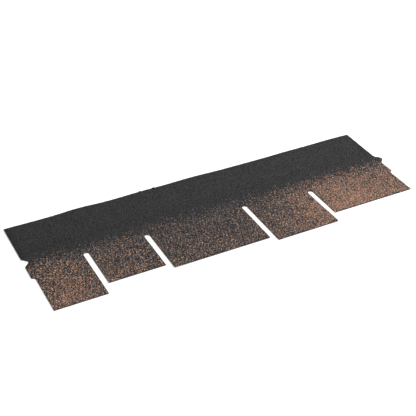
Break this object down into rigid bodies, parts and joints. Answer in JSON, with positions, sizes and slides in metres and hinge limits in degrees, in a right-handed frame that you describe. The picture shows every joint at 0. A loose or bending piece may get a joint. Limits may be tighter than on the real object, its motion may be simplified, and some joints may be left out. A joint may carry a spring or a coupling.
{
  "type": "asphalt roofing shingle strip",
  "caption": "Flat roofing shingle strip of granule-surfaced bitumen mat, with slotted tabs of stepped length and an interlocking tongue and notch at its ends.",
  "frame": {"origin": "under the middle of the strip's bounding box, on its underside", "axes": "+X along the strip towards the end with the tongue, +Y up the roof towards the unslotted band, +Z out of the weather side"},
  "size_m": [1.013, 0.336, 0.003],
  "materials": {
    "mineral_surfaced_bitumen": "matte"
  },
  "bodies": {
    "root": {"shingle_strip": "mineral_surfaced_bitumen"}
  },
  "joints": []
}
